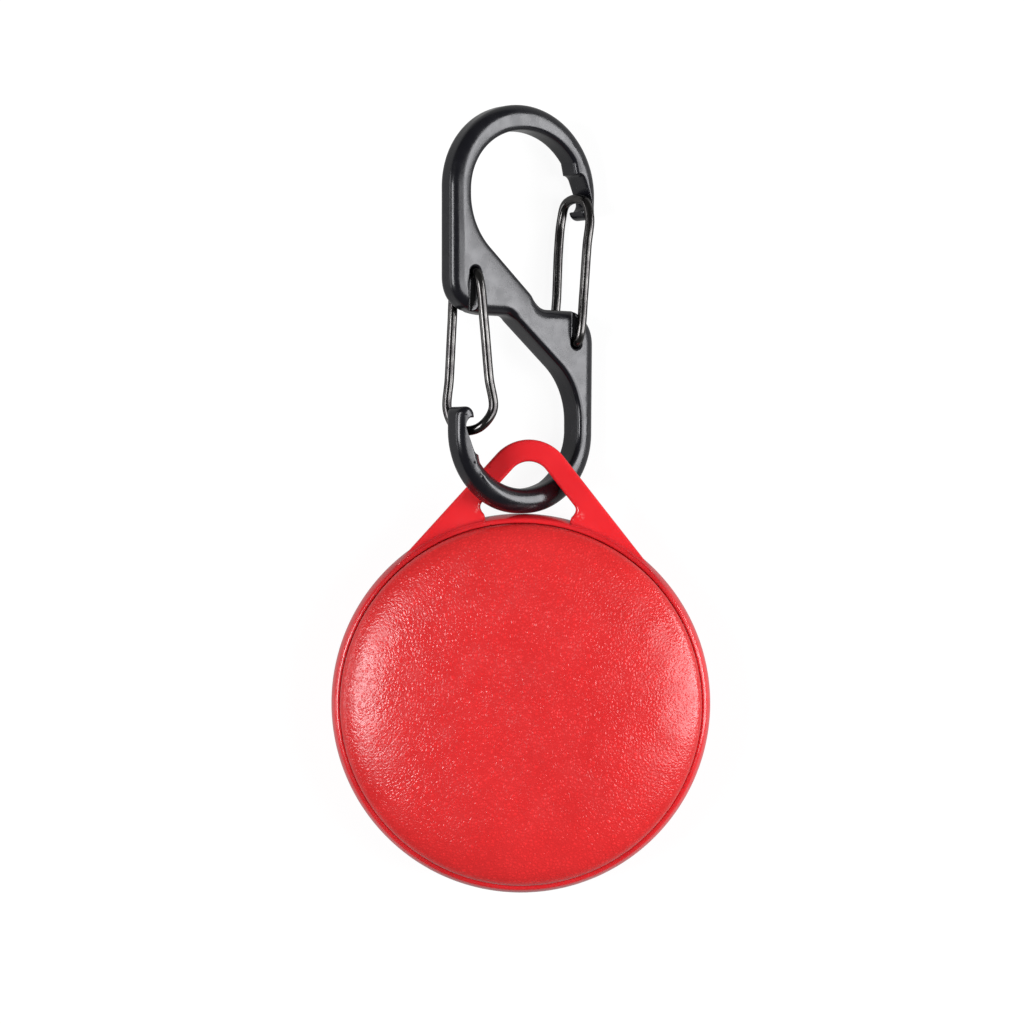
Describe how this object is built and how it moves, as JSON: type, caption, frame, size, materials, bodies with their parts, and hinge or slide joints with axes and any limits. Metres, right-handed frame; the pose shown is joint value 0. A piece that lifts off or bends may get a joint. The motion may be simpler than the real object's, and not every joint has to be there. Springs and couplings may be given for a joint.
{
  "type": "clicker trainer",
  "caption": "Round palm clicker with a sprung leather-faced press button, a triangular lug and a double-ended wire-gate hook hanging in it.",
  "frame": {"origin": "centre of the back pad's resting face", "axes": "+Z out of the front button along the case's axis, +Y from the case's centre to the lug's apex, +X to the right seen from the front"},
  "size_m": [0.04, 0.0828, 0.0142],
  "materials": {
    "leather": "fine pebbled coated leather, satin",
    "case_plastic": "moulded ABS, gloss, slightly translucent",
    "inner_plastic": "moulded acetal, natural white",
    "plunger_rubber": "matt moulded rubber",
    "spring_steel": "bright rolled spring steel",
    "screw_zinc": "bright zinc plate",
    "hook_paint": "gloss black powder coat on die-cast zinc",
    "gate_wire": "black-plated drawn steel wire, bright"
  },
  "bodies": {
    "case": {"back_leather": "leather", "back_cover": "case_plastic", "frame_ring": "case_plastic", "disc_retainer": "inner_plastic", "snap_disc": "spring_steel", "case_screw_1": "screw_zinc", "case_screw_2": "screw_zinc", "case_screw_3": "screw_zinc", "retainer_screw_1": "screw_zinc", "retainer_screw_2": "screw_zinc", "retainer_screw_3": "screw_zinc", "return_spring_1": "spring_steel", "return_spring_2": "spring_steel", "return_spring_3": "spring_steel"},
    "button": {"front_button": "case_plastic", "front_leather": "leather", "plunger_tip": "plunger_rubber"},
    "hook": {"hook_body": "hook_paint"},
    "upper_gate": {"upper_gate": "gate_wire"},
    "lower_gate": {"lower_gate": "gate_wire"}
  },
  "joints": [
    {"name": "button_press", "type": "slide", "parent": "case", "child": "button", "axis": [0, 0, -1], "range_m": [0, 0.001], "stiffness_N_per_m": 1500, "springref_m": -0.0007, "deforming": ["return_spring_1", "return_spring_2", "return_spring_3", "snap_disc"]},
    {"name": "hook_turn", "type": "hinge", "parent": "case", "child": "hook", "pos_m": [-0.00261, 0.04145, 0.00699], "axis": [-0.037, 0.9993, 0], "range_deg": [0, 95]},
    {"name": "upper_gate_hinge", "type": "hinge", "parent": "hook", "child": "upper_gate", "pos_m": [0.00357, 0.03828, 0.00308], "axis": [0.6291, 0.0233, 0.7769], "range_deg": [0, 28], "stiffness_Nm_per_rad": 0.02, "springref_deg": -8.59},
    {"name": "lower_gate_hinge", "type": "hinge", "parent": "hook", "child": "lower_gate", "pos_m": [-0.00724, 0.04468, 0.01164], "axis": [0.6291, 0.0233, 0.7769], "range_deg": [0, 28], "stiffness_Nm_per_rad": 0.02, "springref_deg": -8.59}
  ]
}
